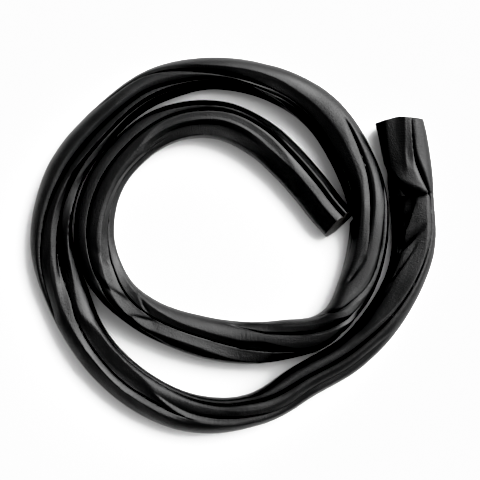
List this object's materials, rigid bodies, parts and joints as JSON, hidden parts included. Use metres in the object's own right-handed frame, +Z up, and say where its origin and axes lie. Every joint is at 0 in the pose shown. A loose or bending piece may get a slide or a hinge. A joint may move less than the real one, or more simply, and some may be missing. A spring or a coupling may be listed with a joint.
{
  "type": "black licorice strip",
  "caption": "Soft black licorice strip with twisting creases, coiled flat in a loose spiral, with cut ends.",
  "frame": {"origin": "middle of the coil's outline, on the surface that it lies on", "axes": "+Z up from the surface; +X and +Y run right and up in a view from above with the outer cut end at the upper right"},
  "size_m": [0.1215, 0.1128, 0.0126],
  "materials": {
    "licorice": "soft, slightly shiny black licorice with a fine grain"
  },
  "bodies": {
    "root": {"licorice_strip": "licorice"}
  },
  "joints": []
}
